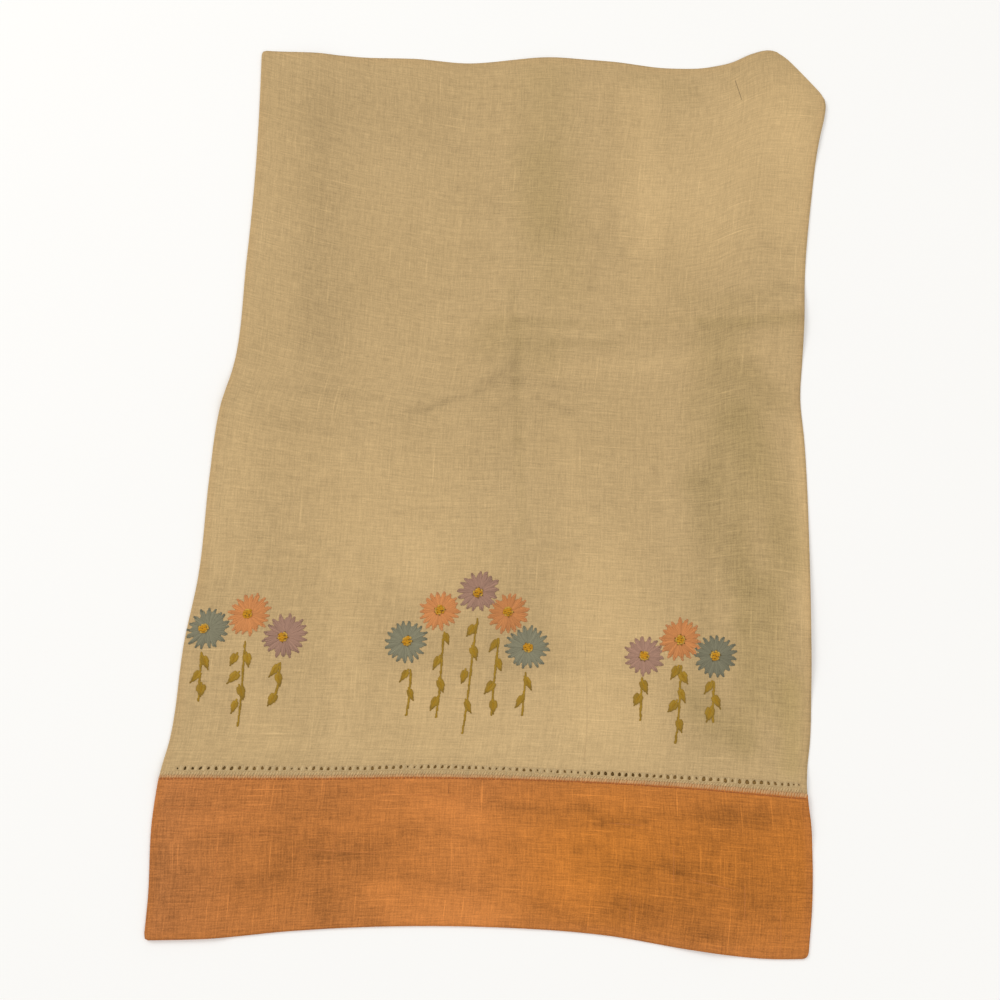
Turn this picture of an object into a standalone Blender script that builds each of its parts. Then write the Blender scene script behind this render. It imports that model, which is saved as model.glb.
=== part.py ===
"""Tea towel, laid flat: a linen panel with a border of orange linen sewn across one end.

Frame: the origin is on the surface, under the middle of the towel. X runs across, Y from the
border end to the plain end, and Z up. The tables are in millimetres and the solids in metres.

Cloth is worked out in three steps. A point of the flat cloth is turned under where it lies past
a fold, then drawn sideways to the wavy outline, then lifted by the soft folds of the lay.
"""

import math
from collections import namedtuple

import bmesh
import bpy
import numpy as np
from mathutils import Vector

MM = 0.001

# The towel as it lies
WIDTH = 330.0
LENGTH = 506.0
BORDER_DEPTH = 80.0
JOIN_GAP = 0.3

# The cloth and its folds
THICKNESS = 1.0
LAYER_GAP = 0.4
MARGIN_UNDER = 32.0
CORNER_LEG = 27.0
RAMP = 14.0
BEND_STEPS = 4

# Spacing of the sheet's grid
CELL = 12.5

LIFT = THICKNESS + LAYER_GAP
BEND_RADIUS = LIFT / 2
BEND_LENGTH = math.pi * BEND_RADIUS
BEND_REACH = BEND_RADIUS + THICKNESS / 2

# The outline: x of the side edges at a distance along the towel from its border end
SideStation = namedtuple("SideStation", "along x")

LEFT_EDGE = (
    SideStation(0, -168.2),
    SideStation(19, -168.8),
    SideStation(60, -172.0),
    SideStation(77, -171.3),
    SideStation(98, -168.4),
    SideStation(150, -167.5),
    SideStation(182, -164.8),
    SideStation(240, -165.7),
    SideStation(272, -165.3),
    SideStation(284, -163.9),
    SideStation(296, -161.5),
    SideStation(370, -160.7),
    SideStation(421, -162.0),
    SideStation(460, -164.2),
    SideStation(506, -167.7),
)

RIGHT_EDGE = (
    SideStation(0, 162.0),
    SideStation(28, 164.1),
    SideStation(63, 163.5),
    SideStation(85, 161.1),
    SideStation(108, 163.1),
    SideStation(159, 163.2),
    SideStation(201, 162.7),
    SideStation(268, 159.9),
    SideStation(291, 157.7),
    SideStation(314, 158.8),
    SideStation(388, 161.6),
    SideStation(413, 164.0),
    SideStation(452, 168.8),
    SideStation(468, 172.0),
    SideStation(506, 172.0),
)

# The outline: y of the ends and of the join at a distance across from the left edge
EndStation = namedtuple("EndStation", "across y")

BORDER_END = (
    EndStation(0, -265.0),
    EndStation(32, -262.2),
    EndStation(72, -256.1),
    EndStation(121, -250.8),
    EndStation(165, -248.2),
    EndStation(231, -248.4),
    EndStation(271, -252.3),
    EndStation(311, -254.2),
    EndStation(330, -253.0),
)

JOIN_LINE = (
    EndStation(0, -185.1),
    EndStation(46, -182.3),
    EndStation(122, -178.1),
    EndStation(173, -175.7),
    EndStation(224, -173.9),
    EndStation(275, -173.0),
    EndStation(330, -173.5),
)

PLAIN_END = (
    EndStation(0, 241.3),
    EndStation(63, 241.8),
    EndStation(90, 243.2),
    EndStation(122, 242.6),
    EndStation(146, 246.5),
    EndStation(169, 249.7),
    EndStation(204, 250.4),
    EndStation(239, 248.3),
    EndStation(263, 250.9),
    EndStation(275, 254.5),
    EndStation(287, 261.5),
    EndStation(299, 265.5),
    EndStation(309, 265.0),
    EndStation(330, 262.0),
)

# The soft folds of the lay: a crest from one point to another, with rounded flanks
Crest = namedtuple("Crest", "x0 y0 x1 y1 half_width height")

CRESTS = (
    Crest(-164, 21, -66, 26, 26, 2.2),
    Crest(-58, 22, -16, 36, 24, 1.3),
    Crest(4, 67, 152, 90, 30, 2.2),
    Crest(-6, 88, 9, -60, 28, 1.9),
    Crest(112, 46, 158, -98, 34, 2.4),
    Crest(-86, -70, -62, -58, 44, 1.7),
    Crest(66, 172, 128, 150, 46, 2.1),
    Crest(-132, 236, -108, 96, 32, 1.6),
    Crest(2, 245, 8, 150, 30, 1.4),
    Crest(46, -128, 64, -172, 26, 1.1),
    Crest(-156, -192, -92, -236, 22, 1.9),
    Crest(-48, -202, 20, -228, 22, 2.3),
    Crest(72, -210, 112, -244, 22, 1.8),
    Crest(104, -190, 158, -186, 18, 1.5),
)


def read_curve(stations, at):
    """Value of the smooth curve through a table's stations."""
    place, value = np.array(stations, float).T
    slope = np.gradient(value, place)
    i = int(np.clip(np.searchsorted(place, at) - 1, 0, len(place) - 2))
    span = place[i + 1] - place[i]
    t = min(max((at - place[i]) / span, 0.0), 1.0)
    rise = t * t * (3 - 2 * t)
    leave = t * (1 - t) ** 2
    arrive = t * t * (t - 1)
    start = value[i] * (1 - rise) + slope[i] * span * leave
    return float(start + value[i + 1] * rise + slope[i + 1] * span * arrive)


def ease(t):
    """Smooth step from 0 to 1."""
    t = min(max(t, 0.0), 1.0)
    return t * t * (3 - 2 * t)


def bend(past):
    """Place and drop of the cloth's middle, at a length past the start of a fold."""
    if past <= 0:
        return past, 0.0
    if past < BEND_LENGTH:
        angle = past / BEND_RADIUS
        return BEND_RADIUS * math.sin(angle), BEND_RADIUS * (1 - math.cos(angle))
    return BEND_LENGTH - past, LIFT


def turn_left_margin(across, along):
    """The margin past the left fold goes under, and the cloth beside it comes down in a ramp.

    Gives the place, its height above the surface's own layer, and its share of the soft folds.
    """
    past, drop = bend(BEND_REACH - across)
    inward = BEND_REACH - past
    if drop > 0:
        return inward, along, LIFT - drop, 1 - drop / LIFT
    return inward, along, LIFT * (1 - ease((inward - MARGIN_UNDER) / RAMP)), 1.0


def turn_corner(across, along, level, share):
    """The far right corner goes under along a line at 45 degrees, and lifts the cloth over it."""
    fold_line = (WIDTH - CORNER_LEG + LENGTH) / math.sqrt(2) - BEND_REACH
    distance = (across + along) / math.sqrt(2) - fold_line
    past, drop = bend(distance)
    shift = (past - distance) / math.sqrt(2)
    if drop > 0:
        return across + shift, along + shift, LIFT - drop, 1 - drop / LIFT
    raised = LIFT * (1 - ease((-past - CORNER_LEG / math.sqrt(2)) / RAMP))
    return across, along, max(level, raised), share


def to_outline(across, along):
    """A point of the laid rectangle, drawn out to the wavy edges."""
    left = read_curve(LEFT_EDGE, along)
    right = read_curve(RIGHT_EDGE, along)
    x = left + (right - left) * across / WIDTH
    join = read_curve(JOIN_LINE, across)
    if along <= BORDER_DEPTH:
        end = read_curve(BORDER_END, across)
        y = end + (join - end) * along / BORDER_DEPTH
    else:
        end = read_curve(PLAIN_END, across)
        y = join + (end - join) * (along - BORDER_DEPTH) / (LENGTH - BORDER_DEPTH)
    return x, y


def crest_height(x, y):
    """Height of the soft folds at a point of the towel."""
    point = Vector((x, y))
    total = 0.0
    for crest in CRESTS:
        start = Vector((crest.x0, crest.y0))
        run = Vector((crest.x1, crest.y1)) - start
        share = min(max((point - start).dot(run) / run.length_squared, 0.0), 1.0)
        distance = (point - start - run * share).length / crest.half_width
        if distance < 1:
            total += crest.height * (0.5 + 0.5 * math.cos(math.pi * distance))
    return total


def lay(across, along):
    """A point of the flat cloth as it lies, in metres, at the middle of the cloth's thickness."""
    across, along, level, share = turn_corner(*turn_left_margin(across, along))
    x, y = to_outline(across, along)
    return Vector((x, y, THICKNESS / 2 + level + crest_height(x, y) * share)) * MM


def even_stations(start, end):
    """Stations from start to end, about one cell apart."""
    count = max(1, round((end - start) / CELL))
    return [start + (end - start) * i / count for i in range(count + 1)]


def column_stations():
    """Distances across the flat cloth: the margin, the bend, the ramp and the open cloth."""
    bend_end = BEND_REACH - BEND_LENGTH
    margin = even_stations(bend_end - MARGIN_UNDER, bend_end)
    curve = [bend_end + BEND_LENGTH * i / BEND_STEPS for i in range(1, BEND_STEPS)]
    open_cloth = even_stations(BEND_REACH, MARGIN_UNDER)
    ramp = [MARGIN_UNDER + RAMP / 2]
    rest = even_stations(MARGIN_UNDER + RAMP, WIDTH)
    return margin + curve + open_cloth + ramp + rest


def flat_sheet(columns, rows):
    """A sheet of cloth with its grid lines at the given stations."""
    sheet = bmesh.new()
    spans = len(columns) - 1, len(rows) - 1
    bmesh.ops.create_grid(sheet, x_segments=spans[0], y_segments=spans[1], size=0.5)
    for vert in sheet.verts:
        column = round((vert.co.x + 0.5) * spans[0])
        row = round((vert.co.y + 0.5) * spans[1])
        vert.co = Vector((columns[column], rows[row], 0))
    return sheet


def cut_corner_bend(sheet):
    """Edges across the sheet where the far right corner bends."""
    normal = Vector((1, 1, 0)).normalized()
    line = Vector((WIDTH - CORNER_LEG, LENGTH, 0)) - normal * BEND_REACH
    for step in range(BEND_STEPS + 1):
        place = line + normal * BEND_LENGTH * step / BEND_STEPS
        parts = sheet.verts[:] + sheet.edges[:] + sheet.faces[:]
        bmesh.ops.bisect_plane(sheet, geom=parts, dist=0.05, plane_co=place, plane_no=normal)


def cloth_material(name, colour):
    material = bpy.data.materials.new(name)
    material.use_nodes = True
    shader = material.node_tree.nodes["Principled BSDF"]
    shader.inputs["Base Color"].default_value = (*colour, 1)
    shader.inputs["Roughness"].default_value = 0.9
    shader.inputs["Metallic"].default_value = 0.0
    return material


def lay_cloth(name, sheet, material, collection):
    """The sheet as it lies, given the cloth's thickness."""
    for vert in sheet.verts:
        vert.co = lay(vert.co.x, vert.co.y)
    mesh = bpy.data.meshes.new(name)
    sheet.to_mesh(mesh)
    sheet.free()
    mesh.shade_smooth()
    mesh.materials.append(material)
    cloth = bpy.data.objects.new(name, mesh)
    collection.objects.link(cloth)
    solidify = cloth.modifiers.new("thickness", "SOLIDIFY")
    solidify.thickness = THICKNESS * MM
    solidify.offset = 0
    solidify.use_even_offset = True
    return cloth


def build_border_band(columns, collection):
    """The border: one band of orange linen from the end of the towel to the join."""
    rows = even_stations(0, BORDER_DEPTH - JOIN_GAP / 2)
    sheet = flat_sheet(columns, rows)
    orange = cloth_material("border_linen", (0.60, 0.22, 0.05))
    return lay_cloth("border_band", sheet, orange, collection)


def build_ground_panel(columns, collection):
    """The ground: one panel of cream linen from the join to the plain end."""
    rows = even_stations(BORDER_DEPTH + JOIN_GAP / 2, LENGTH)
    sheet = flat_sheet(columns, rows)
    cut_corner_bend(sheet)
    cream = cloth_material("ground_linen", (0.62, 0.46, 0.25))
    return lay_cloth("ground_panel", sheet, cream, collection)


def clear_scene():
    for old in list(bpy.data.objects):
        bpy.data.objects.remove(old, do_unlink=True)


def main():
    clear_scene()
    collection = bpy.data.collections.new("tea_towel")
    bpy.context.scene.collection.children.link(collection)
    columns = column_stations()
    build_border_band(columns, collection)
    build_ground_panel(columns, collection)


main()
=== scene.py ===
"""Tea towel, laid flat: cream linen with an orange border, hemstitching and embroidered daisies.

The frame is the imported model's: the origin on the floor under the middle of the towel, X across,
Y from the border end to the plain end, Z up. Tables are in millimetres, meshes in metres.
A point of the flat cloth is given by its distances across and along it from the near left corner.
"""

import math
import random
from collections import namedtuple

import bmesh
import bpy
import numpy as np
from bpy.props import FloatProperty, FloatVectorProperty, PointerProperty
from mathutils import Matrix, Vector


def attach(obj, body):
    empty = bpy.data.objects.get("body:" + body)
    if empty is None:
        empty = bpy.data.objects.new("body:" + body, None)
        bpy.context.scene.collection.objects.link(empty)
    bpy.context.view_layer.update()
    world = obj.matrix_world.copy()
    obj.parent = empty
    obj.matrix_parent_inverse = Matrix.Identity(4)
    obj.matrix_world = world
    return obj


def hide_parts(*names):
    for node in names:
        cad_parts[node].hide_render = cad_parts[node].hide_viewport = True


bl_info = {
    "name": "Embroidered Tea Towel",
    "version": (1, 0, 0),
    "blender": (4, 5, 0),
    "location": "View3D > Sidebar > Towel",
    "description": "Lays out a linen tea towel with a hemstitched border and embroidered daisies",
    "category": "Add Mesh",
}

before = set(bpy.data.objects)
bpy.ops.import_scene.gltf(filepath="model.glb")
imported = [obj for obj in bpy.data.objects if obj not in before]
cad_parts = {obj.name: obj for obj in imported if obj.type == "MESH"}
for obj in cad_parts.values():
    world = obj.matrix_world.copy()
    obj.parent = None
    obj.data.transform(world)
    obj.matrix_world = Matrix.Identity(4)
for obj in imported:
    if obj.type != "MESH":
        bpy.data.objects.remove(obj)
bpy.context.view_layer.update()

MM = 0.001

# The towel as it lies
WIDTH = 330.0
LENGTH = 506.0
BORDER_DEPTH = 80.0
MARGIN_UNDER = 32.0
CORNER_LEG = 27.0
RAMP = 14.0
ALLOWANCE = 11.0
ALLOWANCE_THICKNESS = 0.3
CORNER_ROUND = 3.0
EAR_ROUND_FAR = 2.0
EAR_ROUND_SIDE = 1.3
BEND_STEPS = 6
OUTLINE_ROUNDS = 8
HEM_START = 1.0
HEM_FADE = 5.0

# The outline: distances along the towel from its border end, each with the x of that side edge
LEFT_EDGE = (
    (0, -168.2), (19, -168.8), (60, -172.0), (77, -171.3), (98, -168.4), (150, -167.5),
    (182, -164.8), (240, -165.7), (272, -165.3), (284, -163.9), (296, -161.5), (370, -160.7),
    (421, -162.0), (460, -164.2), (506, -167.7),
)

RIGHT_EDGE = (
    (0, 162.0), (28, 164.1), (63, 163.5), (85, 161.1), (108, 163.1), (159, 163.2), (201, 162.7),
    (268, 159.9), (291, 157.7), (314, 158.8), (388, 161.6), (413, 164.0), (452, 168.8),
    (468, 172.0), (506, 172.0),
)

# The outline: distances across from the left edge, each with the y of that end or of the join
BORDER_END = (
    (0, -265.0), (32, -262.2), (72, -256.1), (121, -250.8), (165, -248.2), (231, -248.4),
    (271, -252.3), (311, -254.2), (330, -253.0),
)

JOIN_LINE = (
    (0, -185.1), (46, -182.3), (122, -178.1), (173, -175.7), (224, -173.9), (275, -173.0),
    (330, -173.5),
)

PLAIN_END = (
    (0, 241.3), (63, 241.8), (90, 243.2), (122, 242.6), (146, 246.5), (169, 249.7), (204, 250.4),
    (239, 248.3), (263, 250.9), (275, 254.5), (287, 261.5), (299, 265.5), (309, 265.0),
    (330, 262.0),
)

# Soft folds and creases: a line from one point to another, raised or sunk, with rounded flanks.
# Each swells or dips most along its line and has gone at its half width
Fold = namedtuple("Fold", "x0 y0 x1 y1 half_width height")

SOFT_FOLDS = [Fold(*row) for row in (
    (-164, 21, -66, 26, 26, 2.2),
    (-58, 22, -16, 36, 24, 1.3),
    (4, 67, 152, 90, 30, 2.2),
    (-6, 88, 9, -60, 28, 1.9),
    (112, 46, 158, -98, 34, 2.4),
    (-86, -70, -62, -58, 44, 1.7),
    (66, 172, 128, 150, 46, 2.1),
    (-132, 236, -108, 96, 32, 1.6),
    (2, 245, 8, 150, 30, 1.4),
    (46, -128, 64, -172, 26, 1.1),
    (-156, -192, -92, -236, 22, 1.9),
    (-48, -202, 20, -228, 22, 2.3),
    (72, -210, 112, -244, 22, 1.8),
    (104, -190, 158, -186, 18, 1.5),
)]

CREASES = [Fold(*row) for row in (
    (-163, 22, -66, 26, 4.5, -0.5),
    (-62, 20, -50, 21, 4.0, -0.35),
    (-54, 21, -30, 33, 4.0, -0.4),
    (-30, 33, -4, 50, 4.5, -0.35),
    (11, 31.6, 40, 28, 4.0, -0.35),
    (4, 67, 78, 78.5, 7.0, 0.6),
    (78, 78.5, 152, 90, 7.0, 0.7),
    (-1, 79, 44, 80, 5.0, -0.3),
    (44, 78, 101, 88, 5.0, -0.35),
    (101, 90, 151, 98, 9.0, -0.4),
    (22, 60, 101, 70, 5.0, -0.3),
    (-8, 151, -6, 91, 11.0, -0.5),
    (-4, 63, 1, -10, 6.0, -0.5),
    (1, -10, 7, -63, 6.0, -0.4),
    (53, 229, 56, 136, 9.0, 0.7),
    (46, 229, 48, 136, 7.0, -0.4),
    (100, 98, 112, 51, 9.0, 0.3),
    (113, 72, 120, -2, 18.0, -0.9),
    (120, -2, 128, -68, 16.0, -0.7),
    (137, -73, 143, -150, 16.0, -0.5),
    (-125, 168, -110, 40, 16.0, -0.5),
    (-149, -217, -110, -206, 5.0, -0.5),
    (-122, -233, -104, -230, 6.0, -0.5),
    (-101, -219, -60, -218, 10.0, -0.5),
    (-63, -216, -44, -204, 5.0, -0.4),
    (-41, -204, 5, -208, 5.0, -0.4),
    (1, -189, 58, -195, 7.0, -0.35),
    (61, -213, 105, -217, 8.0, -0.4),
    (65, -234, 119, -245, 8.0, -0.6),
    (107, -187, 158, -186, 10.0, -0.4),
    (17, -234, 48, -243, 4.0, -0.3),
)]

# Tones of age and wear, and painted shade and painted highlight along the folds and creases of its lay:
# where the cloth is paler or darker, and how far it takes its tint
Tone = namedtuple("Tone", "x0 y0 x1 y1 half_width paler greener", defaults=(0,))

GROUND_TONES_AND_PAINTED_SHADING = [Tone(*row) for row in (
    (-127, 198, -108, 35, 24, -0.08),
    (-131, 113, -120, 64, 11, -0.03),
    (-160, 223, -154, 62, 12, 0.03),
    (-142, 217, -63, 199, 42, -0.05),
    (4, 232, 17, 102, 31, -0.05, 0.2),
    (1, 178, 6, 139, 24, -0.07, 0.2),
    (37, 100, 41, 132, 6.5, -0.05),
    (64, 229, 66, 137, 20, 0.11, -0.03),
    (99, 156, 134, 211, 59, 0.13, -0.05),
    (153, 233, 158, 157, 24, 0.1),
    (143, 156, 155, 126, 18, 0.08),
    (65, 124, 69, 99, 16, 0.06),
    (134, 136, 155, 130, 4, -0.09),
    (145, 111, 156, 109, 5, -0.09),
    (61, 238, 91, 231, 16, -0.06, 0.1),
    (-58, 141, -44, 113, 44, 0.02),
    (-8, 100, -3, 64, 4.5, -0.07, 0.1),
    (-2, 64, -2, 40, 5, -0.1, 0.1),
    (-2, 40, 1, 7, 4.5, -0.08, 0.1),
    (1, 7, 7, -43, 5, -0.06, 0.1),
    (7, -43, 7, -74, 5, -0.04),
    (-15, 66, 13, 60, 22, -0.08, 0.2),
    (-5, 77, 30, 78, 3.5, -0.07, 0.1),
    (0, 73, 17, 72, 2.5, 0.07),
    (17, 72, 45, 71, 2.5, 0.08),
    (16, 65, 53, 67, 4, -0.08, 0.1),
    (64, 79, 100, 85, 5, -0.06, 0.1),
    (101, 83, 126, 85, 6.5, -0.08, 0.2),
    (126, 85, 158, 92, 7, -0.09, 0.2),
    (120, 100, 146, 108, 13, -0.08, 0.1),
    (11, 48, 73, 57, 8, 0.05),
    (73, 57, 138, 71, 8, 0.06),
    (79, 45, 118, 50, 5, -0.04),
    (-61, 19, -50, 21, 3.5, -0.14),
    (-50, 21, -40, 27, 3.5, -0.14),
    (-40, 27, -23, 33, 4, -0.11),
    (-23, 33, -4, 51, 5.5, -0.09),
    (10, 33, 19, 29, 3.5, -0.1),
    (19, 29, 32, 26, 4, -0.09),
    (32, 27, 41, 31, 3.5, -0.05),
    (14, 40, 37, 39, 3.5, -0.06),
    (-54, 12, -31, 17, 5, 0.05),
    (-156, 29, -97, 26, 3.5, -0.05),
    (-97, 26, -65, 23, 3.5, -0.05),
    (-152, 9, -120, 7, 3.5, -0.04),
    (-120, 7, -93, 3, 3.5, -0.04),
    (-114, -25, -101, -18, 2.5, 0.06),
    (-111, -31, -96, -22, 3.5, -0.06),
    (-116, -60, -98, -73, 3, 0.05),
    (-98, -73, -59, -85, 3, 0.05),
    (-95, -85, -82, -89, 3, -0.05),
    (129, 55, 144, 40, 14, -0.08, 0.2),
    (113, 72, 120, -2, 28, -0.12, 0.3),
    (106, -14, 126, -60, 22, -0.12, 0.25),
    (127, 28, 153, -50, 21, -0.1, 0.35),
    (138, -73, 141, -126, 22, -0.12, 0.4),
    (100, -129, 129, -149, 16, -0.1, 0.3),
    (154, -120, 154, -159, 13, -0.05, 0.5),
    (159, 24, 161, -82, 10, 0.17),
    (-84, -21, -38, -47, 47, 0.08, -0.02),
    (-86, -55, -56, -71, 31, 0.08, -0.02),
    (-46, -13, -44, -19, 25, 0.04),
    (-47, -64, -19, -78, 32, 0.07),
    (27, 9, 35, -30, 17, 0.06),
    (50, -63, 65, -100, 38, 0.13),
    (39, -83, 49, -144, 24, 0.1),
    (73, -99, 64, -152, 32, 0.04),
    (-50, -160, 75, -154, 27, 0.1),
    (-52, -139, 74, -134, 19, 0.1),
    (-86, -83, -76, -162, 19, 0.11),
    (-132, -121, -124, -167, 18, 0.08),
    (-152, 2, -158, -71, 22, 0.07, -0.03),
    (103, -14, 109, -150, 17, -0.07, 0.1),
    (125, -18, 128, -148, 12, -0.07, 0.2),
    (113, 24, 109, 3, 11, -0.05, 0.1),
    (-63, -129, -21, -127, 15, 0.05),
    (-14, -159, 7, -157, 8, 0.06),
    (-14, 41, 23, 43, 8, -0.05),
    (42, -72, 48, -74, 7.5, -0.06),
    (44, -155, 53, -154, 6, -0.06),
    (4, 25, 11, 25, 5.5, -0.05),
    (97, 38, 97, -9, 11, -0.05, 0.1),
    (142, -34, 143, -86, 10, -0.05, 0.1),
    (126, -85, 128, -88, 7, -0.06, 0.1),
    (-42, -133, -34, -161, 12, 0.05),
    (16, -125, 63, -121, 8, 0.05),
    (140, -130, 144, -131, 7.5, 0.06),
    (93, -134, 97, -134, 6.5, 0.05),
    (-114, -165, -86, -163, 7, 0.06),
    (-13, 75, 44, 76, 9, -0.05, 0.1),
    (-11, 45, -8, -10, 19, -0.04),
    (94, 98, 152, 89, 14, -0.05, 0.1),
    (-3, -77, 2, -112, 14, -0.05),
    (-145, -167, -103, -145, 26, 0.04),
    (-46, 184, -44, 184, 3.5, -0.12),
    (-37, 126, -28, 125, 3.5, -0.04),
    (-24, 150, -18, 148, 4.5, -0.06),
    (10, 192, 11, 191, 3, -0.06),
)]

BORDER_TONES_AND_PAINTED_SHADING = [Tone(*row) for row in (
    (-146, -217, -131, -214, 4.5, -0.12),
    (-131, -214, -101, -206, 4, -0.1),
    (-125, -234, -103, -231, 4.5, -0.12),
    (-101, -218, -65, -219, 17, -0.16),
    (-106, -196, -80, -198, 12, -0.1),
    (-102, -230, -75, -242, 15, -0.1),
    (-164, -221, -126, -220, 8, -0.07),
    (-42, -192, 47, -225, 32, 0.09),
    (-40, -221, -24, -232, 15, 0.05),
    (-86, -220, -73, -219, 4.5, -0.1),
    (-73, -219, -52, -213, 4.5, -0.09),
    (-53, -211, -44, -205, 4.5, -0.1),
    (-44, -205, -25, -204, 3, -0.1),
    (-25, -204, -8, -207, 3.5, -0.1),
    (-8, -207, 16, -208, 4.5, -0.09),
    (-83, -240, -79, -249, 11, -0.12),
    (-84, -190, -75, -187, 4, -0.15),
    (-53, -196, -44, -189, 4, -0.1),
    (-40, -182, -28, -182, 4, -0.1),
    (-42, -226, -24, -228, 3.5, -0.1),
    (-24, -228, -2, -231, 3.5, -0.1),
    (-32, -184, -11, -198, 20, 0.12),
    (-152, -211, -145, -204, 4.5, 0.08),
    (-145, -204, -127, -202, 4.5, 0.08),
    (-94, -204, -67, -204, 4.5, 0.08),
    (-67, -204, -51, -196, 4.5, 0.08),
    (-41, -194, -21, -193, 5, 0.06),
    (-21, -193, 16, -201, 4.5, 0.08),
    (16, -201, 56, -201, 4.5, 0.07),
    (56, -201, 80, -204, 4.5, 0.06),
    (-95, -227, -69, -223, 3.5, 0.06),
    (-60, -234, -45, -232, 4.5, 0.15),
    (-156, -225, -114, -222, 3.5, 0.05),
    (-51, -237, 10, -240, 15, 0.18),
    (-42, -250, -2, -247, 13, 0.17),
    (6, -225, 43, -226, 4, 0.06),
    (43, -226, 83, -228, 4, 0.06),
    (-30, -218, -9, -218, 15, 0.07),
    (-1, -188, 24, -190, 4.5, -0.14),
    (32, -190, 48, -187, 4.5, -0.14),
    (48, -187, 57, -194, 5, -0.12),
    (57, -194, 78, -192, 4.5, -0.15),
    (78, -190, 107, -187, 4.5, -0.1),
    (107, -186, 121, -186, 10, -0.18),
    (121, -186, 138, -188, 10, -0.2),
    (114, -196, 135, -207, 13, -0.06),
    (158, -228, 159, -242, 9, 0.08),
    (138, -185, 158, -183, 9, -0.13),
    (59, -213, 71, -215, 4.5, -0.11),
    (71, -215, 90, -213, 5, -0.13),
    (90, -213, 106, -219, 5.5, -0.12),
    (28, -210, 57, -207, 3.5, -0.07),
    (65, -234, 84, -238, 10, -0.14),
    (65, -234, 104, -233, 16, -0.11),
    (9, -184, 68, -181, 7, 0.09),
    (78, -181, 79, -201, 8, 0.06),
    (60, -218, 82, -220, 6, -0.07),
    (-164, -219, -161, -221, 7, 0.08),
    (50, -232, 53, -241, 7, -0.07),
    (103, -246, 128, -245, 6, -0.07),
    (62, -205, 65, -207, 7, 0.07),
    (-89, -206, -88, -222, 7, -0.08),
    (-56, -248, -52, -249, 7, -0.13),
    (-13, -231, -8, -231, 7, 0.06),
    (93, -217, 97, -218, 6, -0.06),
    (-74, -229, -69, -229, 6, -0.07),
    (-150, -231, -145, -232, 8, -0.07),
    (125, -230, 140, -229, 6, -0.06),
    (94, -247, 112, -246, 6, -0.08),
    (94, -211, 112, -216, 7, -0.08),
    (125, -223, 143, -229, 9, -0.09),
    (103, -241, 119, -245, 9, -0.12),
    (17, -234, 48, -243, 4, -0.1),
    (34, -214, 47, -230, 15, 0.08),
    (-164, -197, -144, -199, 6.5, -0.12),
    (-170, -227, -158, -248, 21, -0.14),
    (-149, -238, -113, -236, 13, -0.1),
    (-166, -205, -162, -231, 10, -0.07),
    (107, -215, 158, -228, 28, -0.1),
    (50, -176, 76, -182, 9, 0.04),
    (-95, -222, -4, -216, 96, 0, 0.45),
    (77, -211, 168, -205, 97, 0, 0.95),
)]

# The hemstitched row: how far it lies from the join, how far the border's edge reaches past the
# join, the pitch of the holes and how open they are
RowStation = namedtuple("RowStation", "across offset edge pitch open")

HOLE_ROW = [RowStation(*row) for row in (
    (0, 3.4, -0.5, 3.92, 0.75),
    (40, 3.7, -0.5, 3.85, 1.0),
    (73, 3.7, -0.3, 3.73, 0.9),
    (105, 4.3, 0.3, 3.66, 0.85),
    (125, 5.2, 1.0, 3.52, 0.85),
    (155, 5.4, 1.2, 3.5, 0.8),
    (196, 4.6, 1.2, 3.5, 0.75),
    (235, 4.25, 1.2, 3.53, 1.0),
    (258, 4.2, 1.1, 3.63, 0.95),
    (299, 4.15, 0.6, 3.68, 1.1),
    (313, 4.3, 0.4, 3.5, 0.85),
    (322, 4.5, 0.3, 2.7, 0.7),
    (330, 4.6, 0.3, 2.4, 0.6),
)]
FIRST_HOLE = 8.5
LAST_HOLE = 327.0
# How far the ground reaches under the border
UNDER_BORDER = 0.8
FAINT_HOLES = (0, 15, 16, 17, 31, 32, 44, 46, 50, 51, 52, 55, 56, 57, 73, 76, 78, 87, 88, 89, 90)

# The daisies, each with its ring of petals a little off its centre, and the stems and leaves below
Daisy = namedtuple("Daisy", "x y radius petals colour ring_x ring_y tone")

DAISIES = [Daisy(*row) for row in (
    (-158.2, -108.7, 11.4, 18, "blue", 2.4, 0.1, 0.97),
    (-136.0, -99.2, 11.4, 19, "peach", 0.9, -0.5, 1.02),
    (-116.2, -110.2, 12.0, 18, "lilac", 1.2, 0.7, 1.0),
    (-50.6, -107.9, 11.8, 19, "blue", -0.7, -0.5, 1.02),
    (-34.5, -90.2, 10.9, 18, "peach", -0.2, -0.4, 1.04),
    (-14.9, -79.7, 11.5, 17, "lilac", 0.3, 0.7, 0.98),
    (1.7, -88.8, 11.0, 18, "peach", 0.4, -0.6, 0.92),
    (13.5, -107.3, 11.9, 20, "blue", -0.5, 0, 1.02),
    (75.1, -107.4, 11.0, 17, "lilac", -0.1, 0, 1.04),
    (93.9, -97.7, 11.5, 18, "peach", 0, 0.2, 0.97),
    (112.7, -104.9, 11.6, 19, "blue", 0.2, 0, 0.86),
)]

Stem = namedtuple("Stem", "x0 y0 x1 y1")

STEMS = [Stem(*row) for row in (
    (-157.7, -120.9, -156.0, -146.9), (-135.4, -113.6, -134.3, -158.3),
    (-115.8, -123.4, -117.1, -144.8), (-47.3, -122.5, -47.9, -147.0),
    (-31.4, -102.3, -32.2, -147.0), (-14.0, -93.1, -18.1, -154.3), (-2.1, -103.0, -3.7, -144.1),
    (13.2, -120.0, 12.5, -143.0), (74.4, -118.6, 74.2, -141.5), (94.8, -110.9, 92.8, -152.1),
    (112.4, -118.1, 112.3, -140.0),
)]

# A leaf's middle, and how far it leans out from straight down, in degrees to the right; each
# stem's leaves start a new line
Leaf = namedtuple("Leaf", "x y lean")

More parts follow.
